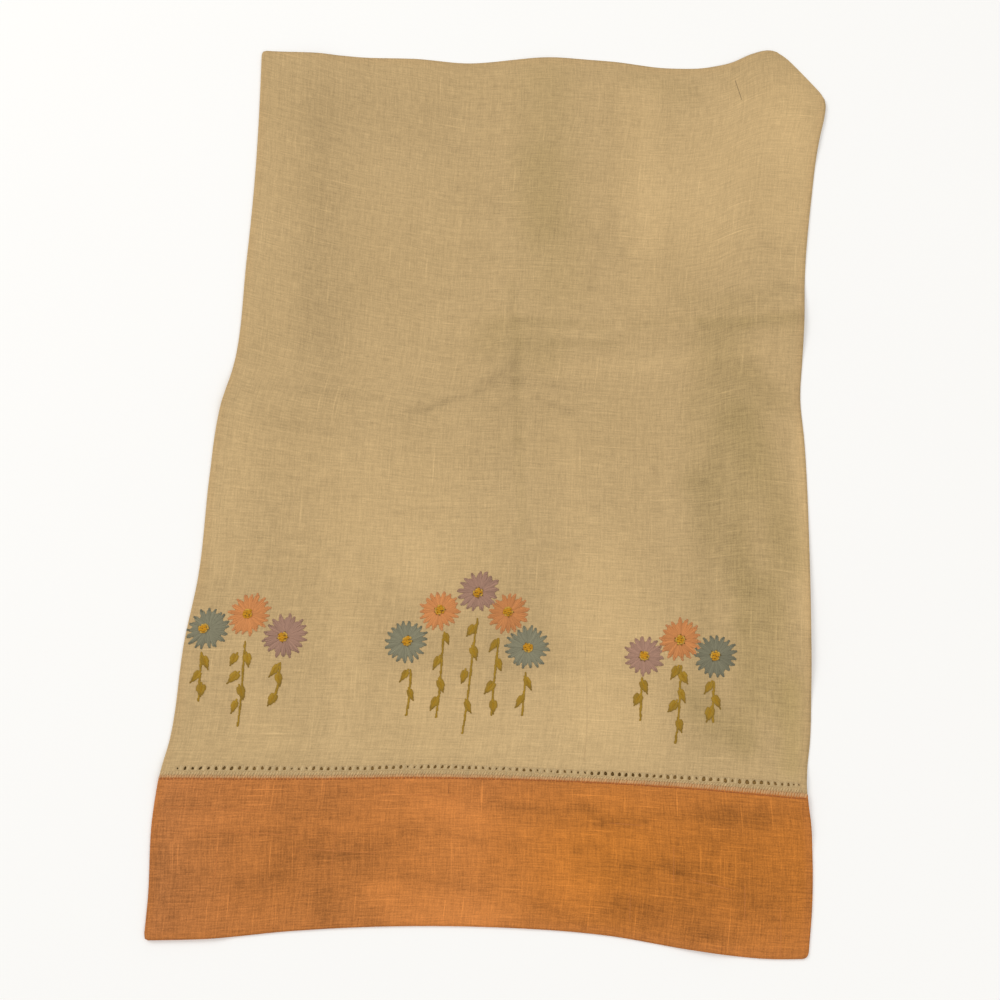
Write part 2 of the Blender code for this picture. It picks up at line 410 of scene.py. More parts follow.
LEAVES = [Leaf(*row) for row in (
    (-154.9, -126.5, 28), (-159.2, -134.1, -34), (-155.4, -140.9, 2),
    (-140.5, -124.0, -24), (-133.2, -123.5, 16), (-139.6, -133.4, -42), (-134.3, -140.8, 22),
    (-137.3, -148.3, -14),
    (-119.0, -128.3, -30), (-115.8, -132.8, 14), (-118.4, -143.3, -24),
    (-50.6, -126.4, -30), (-46.2, -136.0, 22),
    (-29.8, -105.4, 24), (-34.4, -118.5, -24), (-30.8, -130.3, 20), (-33.9, -139.8, -26),
    (-17.2, -100.3, -34), (-14.6, -111.9, 22), (-19.4, -124.8, -12), (-15.8, -140.3, 24),
    (-5.0, -107.5, -30), (-1.2, -117.3, 18), (-5.6, -129.6, -34), (-2.9, -139.4, 4),
    (14.8, -126.2, 30), (10.4, -135.9, -26),
    (75.8, -123.8, 22), (72.2, -130.7, -30),
    (91.5, -115.3, -28), (96.4, -117.7, 30), (96.0, -127.1, 24), (90.8, -133.1, -34),
    (95.0, -142.7, 16),
    (109.4, -122.0, -30), (114.1, -129.0, 28), (110.2, -135.8, -14),
)]

# Thick places in single threads
Slub = namedtuple("Slub", "x0 y0 x1 y1 width paler")

GROUND_SLUBS = [Slub(*row) for row in (
    (-117, -18, -120, -52, 0.5, 0.1),
    (43.5, -101, 46, -163, 0.45, 0.12),
    (-25.5, -173, -24.7, -183, 0.4, 0.12),
    (10.8, -165, 11.8, -168, 0.4, 0.12),
    (-75, -118, -52, -117, 0.5, 0.12),
    (-30, -136, -8, -136.5, 0.35, 0.1),
    (40, 120, 66, 122, 0.5, 0.08),
    (56, -20, 92, -18, 0.45, 0.08),
)]

BORDER_SLUBS = [Slub(*row) for row in (
    (-166, -200.5, -120, -199.5, 0.4, 0.22),
    (-60, -186.8, -18, -186.2, 0.35, 0.22),
    (-150, -210.8, -96, -210.2, 0.4, 0.2),
    (-100, -216.8, -58, -216.4, 0.4, 0.2),
    (60, -194, 76, -194.2, 0.35, 0.2),
    (102, -218.8, 124, -222.6, 0.35, 0.24),
    (-136.4, -214, -136.8, -236, 0.4, 0.2),
    (-78.6, -206, -78.8, -232, 0.35, 0.2),
    (72, -226, 72.4, -240, 0.35, 0.22),
    (93.4, -203, 93.6, -220, 0.35, 0.22),
    (129.8, -220, 130, -236, 0.35, 0.22),
    (148, -229, 148.2, -252, 0.4, 0.26),
    (-23, -179, -22.8, -184, 0.45, -0.3),
)]

# A dark hair near the far right corner
STRAY_HAIR = Slub(118, 243, 122, 231, 0.45, -0.55)


def read_curve(stations, at, field=1):
    """Values of the smooth curve through a table's stations."""
    table = np.array(stations, float)
    place, value = table[:, 0], table[:, field]
    slope = np.gradient(value, place)
    at = np.clip(at, place[0], place[-1])
    i = np.clip(np.searchsorted(place, at) - 1, 0, len(place) - 2)
    span = place[i + 1] - place[i]
    t = (at - place[i]) / span
    rise = t * t * (3 - 2 * t)
    leave = t * (1 - t) ** 2
    arrive = t * t * (t - 1)
    start = value[i] * (1 - rise) + slope[i] * span * leave
    return start + value[i + 1] * rise + slope[i + 1] * span * arrive


def ease(t):
    """Smooth step from 0 to 1."""
    t = np.clip(t, 0.0, 1.0)
    return t * t * (3 - 2 * t)


def near_line(row, x, y):
    """1 on a table row's line, falling to 0 at its half width."""
    run_x, run_y = row.x1 - row.x0, row.y1 - row.y0
    share = ((x - row.x0) * run_x + (y - row.y0) * run_y) / (run_x**2 + run_y**2)
    share = np.clip(share, 0.0, 1.0)
    distance = np.hypot(x - row.x0 - share * run_x, y - row.y0 - share * run_y)
    return 0.5 + 0.5 * np.cos(math.pi * np.clip(distance / row.half_width, 0.0, 1.0))


def round_corners(across, along):
    """The laid rectangle with its corners slightly rounded."""
    middle_x, middle_y = WIDTH / 2, LENGTH / 2
    past_x = np.abs(across - middle_x) - (middle_x - CORNER_ROUND)
    past_y = np.abs(along - middle_y) - (middle_y - CORNER_ROUND)
    at_corner = (past_x > 0) & (past_y > 0)
    reach = np.where(at_corner, np.hypot(past_x, past_y), 1.0)
    scale = np.where(at_corner, np.maximum(past_x, past_y) / reach, 1.0)
    side_x, side_y = np.sign(across - middle_x), np.sign(along - middle_y)
    across = across - side_x * np.where(at_corner, past_x * (1 - scale), 0)
    along = along - side_y * np.where(at_corner, past_y * (1 - scale), 0)
    return across, along


def round_ear(across, along):
    """The blunt corner where the cloth is turned under, with both its ends rounded."""
    steep, flat = math.cos(math.pi / 8), math.sin(math.pi / 8)
    far_end = WIDTH - CORNER_LEG, LENGTH, flat, steep, EAR_ROUND_FAR
    side_end = WIDTH, LENGTH - CORNER_LEG, steep, flat, EAR_ROUND_SIDE
    for x, y, out_x, out_y, depth in (far_end, side_end):
        near = np.clip(1 - np.hypot(across - x, along - y) / (depth * 5), 0, 1) ** 2
        across, along = across - out_x * depth * near, along - out_y * depth * near
    return across, along


def read_sides(along):
    """x of both side edges at a distance along the towel."""
    return [read_curve(line, along) for line in (LEFT_EDGE, RIGHT_EDGE)]


def read_ends(across):
    """y of the border's end, of the join and of the plain end at a distance across."""
    return [read_curve(line, across) for line in (BORDER_END, JOIN_LINE, PLAIN_END)]


def to_outline(across, along):
    """A point of the laid rectangle, drawn out to the wavy edges."""
    across, along = round_ear(*round_corners(across, along))
    left, right = read_sides(along)
    near, join, far = read_ends(across)
    border = near + (join - near) * along / BORDER_DEPTH
    ground = join + (far - join) * (along - BORDER_DEPTH) / (LENGTH - BORDER_DEPTH)
    return left + (right - left) * across / WIDTH, np.where(along <= BORDER_DEPTH, border, ground)


def from_outline(x, y):
    """The point of the laid rectangle, across and along, that lies at a point of the towel."""
    across, along = x + WIDTH / 2, y + LENGTH / 2
    for _ in range(OUTLINE_ROUNDS):
        left, right = read_sides(along)
        across = (x - left) / (right - left) * WIDTH
        near, join, far = read_ends(across)
        border = (y - near) / (join - near) * BORDER_DEPTH
        ground = BORDER_DEPTH + (y - join) / (far - join) * (LENGTH - BORDER_DEPTH)
        along = np.where(y <= join, border, ground)
    return np.array([float(across), float(along)])


class LaidCloth:
    """Where the points of a flat cloth of a given thickness come to lie."""

    def __init__(self, sizes, thickness):
        self.thickness = thickness / MM
        self.lift = (sizes.cloth_thickness + sizes.layer_gap) / MM
        self.radius = self.lift / 2
        self.bend_length = math.pi * self.radius
        self.reach = self.radius + self.thickness / 2
        self.swell = sizes.seam_height / MM
        self.base = sizes.cloth_thickness / MM / 2

    def bend(self, past):
        """Place and drop of the cloth's middle, at a length past the start of a fold."""
        angle = np.clip(past, 0, self.bend_length) / self.radius
        place = np.minimum(past, 0) + self.radius * np.sin(angle)
        place -= np.maximum(past - self.bend_length, 0)
        return place, self.radius * (1 - np.cos(angle))

    def turn_left_margin(self, across):
        """The margin past the left fold goes under, and the cloth beside it comes down."""
        past, drop = self.bend(self.reach - across)
        inward = self.reach - past
        ramp = self.lift * (1 - ease((inward - MARGIN_UNDER) / RAMP))
        level = np.where(drop > 0, self.lift - drop, ramp)
        return inward, level, 1 - drop / self.lift

    def turn_corner(self, across, along, level, share):
        """The far right corner goes under along a line at 45 degrees."""
        fold_line = (WIDTH - CORNER_LEG + LENGTH) / math.sqrt(2) - self.reach
        distance = (across + along) / math.sqrt(2) - fold_line
        past, drop = self.bend(distance)
        shift = (past - distance) / math.sqrt(2)
        raised = self.lift * (1 - ease((-past - CORNER_LEG / math.sqrt(2)) / RAMP))
        turned = drop > 0
        level = np.where(turned, self.lift - drop, np.maximum(level, raised))
        share = np.where(turned, 1 - drop / self.lift, share)
        return across + shift, along + shift, level, share

    def fold_height(self, x, y, along):
        """Height of the soft folds, the creases and the raised seam."""
        soft = sum(row.height * near_line(row, x, y) for row in SOFT_FOLDS)
        sharp = sum(row.height * near_line(row, x, y) for row in CREASES)
        seam = self.swell * (1 - ease((np.abs(along - BORDER_DEPTH - 2.5) - 3.5) / 12))
        return np.maximum(soft + sharp, 0) + np.maximum(seam - soft * 0.5, 0)

    def middle(self, across, along):
        """Points at the middle of the cloth's thickness, in metres."""
        across, along = np.asarray(across, float), np.asarray(along, float)
        inward, level, share = self.turn_left_margin(across)
        placed = self.turn_corner(inward, along, level, share)
        x, y = to_outline(placed[0], placed[1])
        height = self.fold_height(x, y, placed[1]) * placed[3]
        z = self.base + placed[2] + height + (self.thickness / 2 - self.base) * 0.5
        return np.stack([x, y, z], axis=-1) * MM

    def normal(self, across, along):
        """Directions out of the embroidered face."""
        step = 0.3
        across, along = np.asarray(across, float), np.asarray(along, float)
        to_right = self.middle(across + step, along) - self.middle(across - step, along)
        to_far = self.middle(across, along + step) - self.middle(across, along - step)
        up = np.cross(to_right, to_far)
        return up / np.linalg.norm(up, axis=-1, keepdims=True)

    def on_top(self, across, along, height):
        """Points at a height over the embroidered face, in metres."""
        above = (self.thickness / 2 + height) * MM
        return self.middle(across, along) + self.normal(across, along) * above


def take_mesh(name, work):
    """The mesh of a finished bmesh."""
    mesh = bpy.data.meshes.new(name)
    work.to_mesh(mesh)
    work.free()
    return mesh


def lay_piece(name, mesh, material, thickness=0.0, even=False):
    """An object made of a mesh, thickened evenly to both sides where it is a sheet."""
    mesh.materials.append(material)
    piece = bpy.data.objects.new(name, mesh)
    bpy.context.scene.collection.objects.link(piece)
    if thickness:
        solidify = piece.modifiers.new("thickness", "SOLIDIFY")
        solidify.thickness = thickness
        solidify.offset = 0
        solidify.use_even_offset = even
    return piece


def even_stations(start, end, cell):
    """Stations from start to end, about one cell apart."""
    count = max(1, round((end - start) / cell))
    return [start + (end - start) * i / count for i in range(count + 1)]


def column_stations(cloth, cell):
    """Distances across the flat cloth: the hidden margin, the bend and the open cloth."""
    bend_end = cloth.reach - cloth.bend_length
    margin = even_stations(bend_end - MARGIN_UNDER, bend_end, cell * 2)
    curve = [bend_end + cloth.bend_length * i / BEND_STEPS for i in range(1, BEND_STEPS)]
    return margin + curve + even_stations(cloth.reach, WIDTH, cell)


def add_grid(sheet, columns, rows):
    """A flat grid with its lines at the given stations; gives its vertices by column and row."""
    spans = len(columns) - 1, len(rows) - 1
    made = bmesh.ops.create_grid(sheet, x_segments=spans[0], y_segments=spans[1], size=0.5)
    grid = {}
    for vert in made["verts"]:
        column = round((vert.co.x + 0.5) * spans[0])
        row = round((vert.co.y + 0.5) * spans[1])
        grid[column, row] = vert
        vert.co = Vector((columns[column], rows[row], 0))
    return grid


def cut_corner_bend(sheet, cloth):
    """Edges across the sheet where the far right corner bends."""
    normal = Vector((1, 1, 0)).normalized()
    line = Vector((WIDTH - CORNER_LEG, LENGTH, 0)) - normal * cloth.reach
    for step in range(BEND_STEPS + 1):
        place = line + normal * cloth.bend_length * step / BEND_STEPS
        parts = sheet.verts[:] + sheet.edges[:] + sheet.faces[:]
        bmesh.ops.bisect_plane(sheet, geom=parts, dist=0.05, plane_co=place, plane_no=normal)


def weft_rise(x, y):
    """How far the crosswise threads lie above level: they sag in the middle of the plain end."""
    sag = np.where(x < 25, 0.00072 * (25 - x) ** 2, 0.0005 * (x - 25) ** 2)
    return sag * ease((y + 80) / 150)


def finish_cloth(name, sheet, cloth, tones, material):
    """The flat sheet laid down, with its thread coordinates, its tones and painted shading, and its
    thickness.
    """
    flat = np.array([vert.co[:2] for vert in sheet.verts])
    across, along = flat.T
    laid = cloth.middle(across, along)
    x, y = laid[:, 0] / MM, laid[:, 1] / MM
    paler = sum(row.paler * near_line(row, x, y) for row in tones)
    greener = sum(row.greener * near_line(row, x, y) for row in tones)
    edge = np.minimum(np.minimum(across, WIDTH - across), LENGTH - along)
    hem = 1 - ease((np.minimum(edge, along) - HEM_START) / HEM_FADE)
    rise = weft_rise(x, y)
    values = (("paler", paler), ("greener", greener), ("hem", hem))
    layers = [(sheet.verts.layers.float.new(label), value) for label, value in values]
    threads = sheet.loops.layers.uv.new("threads")
    for i, vert in enumerate(sheet.verts):
        for layer, value in layers:
            vert[layer] = float(value[i])
        for loop in vert.link_loops:
            loop[threads].uv = (across[i] * MM, (along[i] - rise[i]) * MM)
        vert.co = laid[i]
    mesh = take_mesh(name, sheet)
    mesh.shade_smooth()
    return lay_piece(name, mesh, material, cloth.thickness * MM, even=True)


def hole_places():
    """The holes of the hemstitched row: place across, width, height, shift along, and slant."""
    worker = random.Random(8)
    holes = []
    across = FIRST_HOLE
    while across < LAST_HOLE:
        size = float(read_curve(HOLE_ROW, across, 4))
        size *= worker.uniform(0.6, 0.72) if len(holes) in FAINT_HOLES else worker.uniform(0.9, 1.1)
        width = worker.uniform(1.4, 1.75) * size
        height = worker.uniform(1.75, 2.25) * size
        place = across + worker.uniform(-0.15, 0.15)
        holes.append((place, width, height, worker.uniform(-0.16, 0.16), worker.uniform(-0.3, 0.3)))
        across += float(read_curve(HOLE_ROW, across, 3))
    return holes


def row_centre(across):
    """Distance along the cloth of the hemstitched row."""
    return BORDER_DEPTH + read_curve(HOLE_ROW, across, 1)


def border_edge(across):
    """Distance along the cloth of the border's edge at the seam."""
    return BORDER_DEPTH + read_curve(HOLE_ROW, across, 2)


def add_hole_strip(sheet, columns, top):
    """The cloth between the join and the plain ground, with the row of holes cut through."""
    stations = columns[: sum(column < FIRST_HOLE - 3 for column in columns)]
    cuts = []
    for across, width, height, shift, slant in hole_places():
        start = across - width / 2
        previous = stations[-1]
        stations.append(previous + (start - previous) / 2)
        cuts.append((len(stations), across, width, height, shift, slant))
        stations += [start, start + width / 3, start + width * 2 / 3, start + width]
    stations += [(stations[-1] + WIDTH) / 2, WIDTH]
    # The first two rows are placed by the border's edge, the others by the middle of the holes
    levels = [-9.0, -3.6, -2.5, -1.8, -1.1, -0.37, 0.37, 1.1, 1.8, 2.6, top]
    grid = add_grid(sheet, stations, levels)
    for (column, row), vert in grid.items():
        centre = float(row_centre(stations[column]))
        low = float(border_edge(stations[column])) - UNDER_BORDER
        vert.co.y = low if row == 0 else centre + levels[row]
        if row == 1:
            vert.co.y = low + (centre + levels[2] - low) / 2
    gone = []
    for first, across, width, height, shift, slant in cuts:
        centre = float(row_centre(across)) + shift
        for column in range(4):
            for row in range(4):
                vert = grid[first + column, 4 + row]
                side, up = column / 1.5 - 1, row / 1.5 - 1
                scale = max(abs(side), abs(up)) / math.hypot(side, up)
                vert.co.x = across + side * scale * width / 2 * (1 - 0.25 * up) + slant * up * scale
                vert.co.y = centre + up * scale * height / 2
        for column in range(3):
            for row in range(3):
                corners = {grid[first + column + i, 4 + row + j] for i in (0, 1) for j in (0, 1)}
                gone += [f for f in grid[first + column, 4 + row].link_faces if set(f.verts) == corners]
    bmesh.ops.delete(sheet, geom=gone, context="FACES")
    last = len(levels) - 1
    return [grid[column, last] for column in range(len(stations))]


def edges_between(line):
    """The edges that join a line of vertices one after the other."""
    found = []
    for start, end in zip(line, line[1:]):
        found += [edge for edge in start.link_edges if edge.other_vert(start) == end]
    return found


def build_ground_sheet(cloth, cell):
    """The cream ground in the flat, from the join to the plain end, with its holes."""
    sheet = bmesh.new()
    columns = column_stations(cloth, cell)
    rows = even_stations(BORDER_DEPTH + 12, LENGTH, cell)
    grid = add_grid(sheet, columns, rows)
    lower = [grid[column, 0] for column in range(len(columns))]
    upper = add_hole_strip(sheet, columns, 3.6)
    border = edges_between(lower) + edges_between(upper)
    border.append(sheet.edges.new((lower[0], upper[0])))
    border.append(sheet.edges.new((lower[-1], upper[-1])))
    bmesh.ops.triangle_fill(sheet, use_beauty=True, use_dissolve=False, edges=border, normal=(0, 0, 1))
    bmesh.ops.recalc_face_normals(sheet, faces=sheet.faces[:])
    if sum(face.normal.z for face in sheet.faces) < 0:
        bmesh.ops.reverse_faces(sheet, faces=sheet.faces[:])
    cut_corner_bend(sheet, cloth)
    return sheet


Stitch = namedtuple("Stitch", "start end width height colour fades_to sink")
# A stitch that comes this close to the left fold is made of short parts that follow the bend
FOLD_REACH = 2.0
FOLD_PARTS = 5
STITCH_SIDES = 6
# From a knot to the dark stitch beside it, which paints the shade in the gap
GAP_SHIFT = np.array([0.5, -0.7])


def stitch_shape():
    """One stitch: a rounded body with its poles at its two ends, one unit long, wide and high."""
    body = bmesh.new()
    body.loops.layers.uv.new("strands")
    bmesh.ops.create_uvsphere(
        body, u_segments=STITCH_SIDES, v_segments=STITCH_SIDES, radius=0.5, calc_uvs=True
    )
    for vert in body.verts:
        fuller = max(1 - 4 * vert.co.z**2, 1e-9) ** -0.25
        vert.co.x *= fuller
        vert.co.y *= fuller
    return take_mesh("stitch_shape", body)


def heading(angle):
    """One unit in a direction over the flat cloth."""
    return np.array([math.cos(angle), math.sin(angle)])


def beside(forward):
    """One unit to the left of a direction."""
    return np.array([-forward[1], forward[0]])


class Needlework:
    """Stitches gathered into one mesh, each a small tapered body lying on the cloth."""

    def __init__(self, context, seed, on_border=False):
        self.sizes, self.colours = context.scene.towel_sizes, context.scene.towel_colours
        thickness = self.sizes.border_thickness if on_border else self.sizes.cloth_thickness
        self.cloth = LaidCloth(self.sizes, thickness)
        self.worker = random.Random(seed)
        self.stitches = []

    def stitch(self, start, end, width, height, colour, fades_to=None, sink=0.35):
        """One stitch from start to end, in distances across and along the flat cloth."""
        factor = 1 + self.worker.uniform(-0.09, 0.09)
        shade = tuple(channel * factor for channel in colour)
        towards = shade if fades_to is None else tuple(channel * factor for channel in fades_to)
        start, end = np.array(start, float), np.array(end, float)
        if min(start[0], end[0]) > FOLD_REACH:
            self.stitches.append(Stitch(start, end, width, height, shade, towards, sink))
            return
        for i in range(FOLD_PARTS):
            first = start + (end - start) * (i - 0.2) / FOLD_PARTS
            last = start + (end - start) * (i + 1.2) / FOLD_PARTS
            if (first + last)[0] > 0:
                self.stitches.append(Stitch(first, last, width, height * 0.7, shade, towards, sink))

    def column(self, field):
        """One field of all the stitches."""
        return np.array([getattr(stitch, field) for stitch in self.stitches], float)

    def place(self, shape):
        """The points of every stitch's body where it lies on the cloth."""
        body = np.array([vert.co[:] for vert in shape.vertices])
        start, end = self.column("start"), self.column("end")
        width, height = self.column("width")[:, None], self.column("height")[:, None]
        lift = height * (0.5 - self.column("sink")[:, None])
        first = self.cloth.on_top(*start.T, lift)
        last = self.cloth.on_top(*end.T, lift)
        run = last - first
        side = np.cross(self.cloth.normal(*((start + end) / 2).T), run)
        side /= np.linalg.norm(side, axis=1, keepdims=True)
        up = np.cross(run, side)
        up /= np.linalg.norm(up, axis=1, keepdims=True)
        points = ((first + last) / 2)[:, None, :]
        points = points + body[None, :, 0:1] * (side * width * MM)[:, None, :]
        points = points + body[None, :, 1:2] * (up * height * MM)[:, None, :]
        return points + body[None, :, 2:3] * run[:, None, :]

    def finish(self, name, slot):
        """The gathered stitches as one piece."""
        shape = stitch_shape()
        work = bmesh.new()
        for _ in self.stitches:
            work.from_mesh(shape)
        mesh = take_mesh(name, work)
        mesh.vertices.foreach_set("co", self.place(shape).ravel())
        share = np.array([vert.co.z + 0.5 for vert in shape.vertices])
        mix = ease((share - 0.45) / 0.55)[None, :, None]
        own, towards = self.column("colour")[:, None, :], self.column("fades_to")[:, None, :]
        colour = own * (1 - mix) + towards * mix
        colour = np.concatenate([colour, np.ones_like(colour[:, :, :1])], axis=2)
        layer = mesh.attributes.new("thread_colour", "FLOAT_COLOR", "POINT")
        layer.data.foreach_set("color", colour.ravel())
        mesh.shade_smooth()
        mesh.update()
        bpy.data.meshes.remove(shape)
        piece = lay_piece(name, mesh, shared_material("stranded_cotton", thread_material))
        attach(piece, "root")


class NodeTree:
    """A tree that nodes are added to; an input is another node's output or a plain value."""

    def __init__(self, tree):
        self.tree = tree

    def add(self, kind, inputs=None, **settings):
        """A node with its settings and its inputs, which are named or numbered."""
        node = self.tree.nodes.new("ShaderNode" + kind)
        for key, value in settings.items():
            setattr(node, key, value)
        self.wire(node, inputs or {})
        return node

    def wire(self, node, inputs):
        """Links outputs to a node's inputs, or sets plain values there."""
        for key, source in inputs.items():
            if isinstance(source, bpy.types.NodeSocket):
                self.tree.links.new(source, node.inputs[key])
            else:
                node.inputs[key].default_value = source

    def calculate(self, operation, *values):
        """A Math node's result."""
        return self.add("Math", dict(enumerate(values)), operation=operation).outputs[0]

    def cloudy(self, vector, scale, detail=0.0, roughness=0.5, stretch=None):
        """A noise value round 0, from about -0.5 to 0.5, on a vector multiplied by three sizes."""
        if stretch:
            stretched = self.add("VectorMath", {0: vector, 1: stretch}, operation="MULTIPLY")
            vector = stretched.outputs[0]
        inputs = {"Vector": vector, "Scale": scale, "Detail": detail, "Roughness": roughness}
        return self.calculate("SUBTRACT", self.add("TexNoise", inputs).outputs["Fac"], 0.5)

    def blend(self, first, second, share):
        """A colour between two colours."""
        inputs = {0: share, 6: first, 7: second}
        return self.add("Mix", inputs, data_type="RGBA", blend_type="MIX").outputs[2]

    def shade(self, colour, level):
        """A colour multiplied by a level."""
        return self.add("VectorMath", {0: colour, "Scale": level}, operation="SCALE").outputs[0]

    def attribute(self, name, output="Fac"):
        """A value that the mesh holds."""
        return self.add("Attribute", attribute_name=name).outputs[output]

    def group(self, name, build, inputs):
        """The outputs of a shared group, which is built once and then used again."""
        tree = bpy.data.node_groups.get(name) or build(name)
        node = self.add("Group", node_tree=tree)
        self.wire(node, inputs)
        return node.outputs


def new_group(name, inputs, outputs):
    """A shader node group with its sockets; an input with no value is a vector."""
    tree = bpy.data.node_groups.new(name, "ShaderNodeTree")
    for label, value in inputs.items():
        kind = "NodeSocketVector" if value is None else "NodeSocketFloat"
        socket = tree.interface.new_socket(label, in_out="INPUT", socket_type=kind)
        if value is not None:
            socket.default_value = value
    for label in outputs:
        tree.interface.new_socket(label, in_out="OUTPUT", socket_type="NodeSocketFloat")
    return NodeTree(tree), tree.nodes.new("NodeGroupInput").outputs, tree.nodes.new("NodeGroupOutput")


def linen_weave_group(name):
    """Plain weave of uneven linen threads: the tone of the single threads, and their height."""
    inputs = {"Threads": None, "Pitch": 0.0005, "Slubs": 0.5}
    nodes, given, result = new_group(name, inputs, ("Tone", "Height"))
    threads, calculate = given["Threads"], nodes.calculate

    def streaky(detail, *sizes):
        return nodes.cloudy(threads, 1.0, detail, stretch=sizes)

    wander = nodes.add("TexNoise", {"Vector": threads, "Scale": 160.0, "Detail": 2.0})
    drift = {0: wander.outputs["Color"], 1: (0.0011, 0.0011, 0.0), 2: threads}
    drift = nodes.add("VectorMath", drift, operation="MULTIPLY_ADD")
    parts = nodes.add("SeparateXYZ", {0: drift.outputs[0]})
    turn = calculate("DIVIDE", math.pi, given["Pitch"])
    warp = calculate("SINE", calculate("MULTIPLY", parts.outputs[0], turn))
    weft = calculate("SINE", calculate("MULTIPLY", parts.outputs[1], turn))
    over = calculate("MULTIPLY", calculate("MULTIPLY", warp, weft), 0.4)
    warp_top = calculate("MULTIPLY", calculate("ABSOLUTE", warp), calculate("ADD", over, 0.6))
    weft_top = calculate("MULTIPLY", calculate("ABSOLUTE", weft), calculate("SUBTRACT", 0.6, over))
    woven = calculate("MAXIMUM", warp_top, weft_top)
    warp_streak = streaky(1.0, 1350.0, 130.0, 0.0)
    streaks = calculate("MULTIPLY_ADD", streaky(1.0, 120.0, 1400.0, 0.0), 1.15, warp_streak)
    long_streaks = calculate("ADD", streaky(0.0, 760.0, 14.0, 2.0), streaky(0.0, 12.0, 800.0, 5.0))
    streaks = calculate("MULTIPLY_ADD", long_streaks, 0.35, streaks)
    streaks = calculate("ADD", streaks, nodes.cloudy(threads, 1300.0, 1.0))
    slub = calculate("MAXIMUM", streaky(0.0, 900.0, 34.0, 7.0), streaky(0.0, 30.0, 900.0, 3.0))
    slub = calculate("MULTIPLY", calculate("SUBTRACT", slub, 0.21), 8.0)
    slub = calculate("MULTIPLY", calculate("MAXIMUM", slub, 0.0), given["Slubs"])
    slub = calculate("MINIMUM", slub, 1.0)
    tone = calculate("MULTIPLY_ADD", slub, 0.7, streaks)
    tone = calculate("MULTIPLY_ADD", woven, 0.25, tone)
    height = calculate("MULTIPLY_ADD", slub, 0.8, woven)
    height = calculate("MULTIPLY_ADD", streaks, 0.9, height)
    nodes.wire(result, {"Tone": tone, "Height": height})
    return nodes.tree


def age_group(name):
    """Soft patches of age and handling, small and large, from a place in metres."""
    nodes, given, result = new_group(name, {"Place": None}, ("Large", "Small", "Crumple"))
    place = given["Place"]
    large = nodes.cloudy(place, 14.0, 2.0)
    small = nodes.cloudy(place, 90.0, 3.0, 0.6)
    crumple = nodes.cloudy(place, 38.0, 4.0, 0.55, (1.0, 1.4, 1.0))
    nodes.wire(result, {"Large": large, "Small": small, "Crumple": crumple})
    return nodes.tree


def new_material(name):
    """A material with its nodes and its shader."""
    material = bpy.data.materials.new(name)
    material.use_nodes = True
    tree = material.node_tree
    return material, NodeTree(tree), tree.nodes["Principled BSDF"]


def linen_material(name, shades, pitch, slubs, contrast):
    """Plain woven linen that has toned with age, made paler or darker by its tones and painted shading:
    its colour, its shade, its tint and its hem.
    """
    material, nodes, shader = new_material(name)
    colour, shadow, tint, hem_colour = [(*shade, 1) for shade in shades]
    calculate, attribute = nodes.calculate, nodes.attribute
    threads = nodes.add("UVMap", uv_map="threads").outputs["UV"]
    inputs = {"Threads": threads, "Pitch": pitch, "Slubs": slubs}
    weave = nodes.group("linen_weave", linen_weave_group, inputs)
    place = nodes.add("TexCoord").outputs["Object"]
    age = nodes.group("age_patches", age_group, {"Place": place})
    level = calculate("MULTIPLY_ADD", weave["Tone"], contrast, 1.0 - contrast * 0.12)
    level = calculate("MULTIPLY_ADD", age["Large"], 0.05, level)
    level = calculate("MULTIPLY_ADD", age["Small"], 0.03, level)
    # The mesh's paler value holds age and wear, and painted shade and highlight over folds and creases
    level = calculate("ADD", level, attribute("paler"))
    ground = nodes.blend(shadow, colour, calculate("MULTIPLY_ADD", age["Large"], 1.2, 0.5))
    tinted = nodes.blend(ground, tint, attribute("greener"))
    hemmed = nodes.blend(tinted, hem_colour, calculate("MULTIPLY", attribute("hem"), 0.55))
    wave = {"Strength": 0.5, "Distance": 0.0016, "Height": age["Crumple"]}
    grain = {"Strength": 0.55, "Distance": 0.00012, "Height": weave["Height"]}
    grain["Normal"] = nodes.add("Bump", wave).outputs["Normal"]
    finish = {
        "Base Color": nodes.shade(hemmed, level),
        "Roughness": calculate("MULTIPLY_ADD", age["Small"], 0.1, 0.88),
        "Normal": nodes.add("Bump", grain).outputs["Normal"],
        "Specular IOR Level": 0.2,
        "Sheen Weight": 0.12,
        "Sheen Roughness": 0.6,
        "Sheen Tint": colour,
    }
    nodes.wire(shader, finish)
    return material


def thread_material(name):
    """Stranded cotton laid in stitches, its colour from each stitch."""
    material, nodes, shader = new_material(name)
    calculate = nodes.calculate
    parts = nodes.add("SeparateXYZ", {0: nodes.add("UVMap", uv_map="strands").outputs["UV"]})
    around = calculate("MULTIPLY", parts.outputs[0], math.pi * 8)
    along = calculate("MULTIPLY", parts.outputs[1], 26.0)
    ply = calculate("SINE", calculate("ADD", around, along))
    fuzz = nodes.cloudy(nodes.add("TexCoord").outputs["Object"], 2200.0, 2.0, 0.6)
    level = calculate("MULTIPLY_ADD", ply, 0.07, 1.0)
    level = calculate("MULTIPLY_ADD", fuzz, 0.3, level)
    strands = {"Strength": 0.4, "Distance": 0.00005, "Height": ply}
    finish = {
        "Base Color": nodes.shade(nodes.attribute("thread_colour", "Color"), level),
        "Roughness": calculate("MULTIPLY_ADD", fuzz, 0.3, 0.62),
        "Normal": nodes.add("Bump", strands).outputs["Normal"],
        "Specular IOR Level": 0.2,
        "Sheen Weight": 0.1,
        "Sheen Roughness": 0.5,
    }
    nodes.wire(shader, finish)
    return material


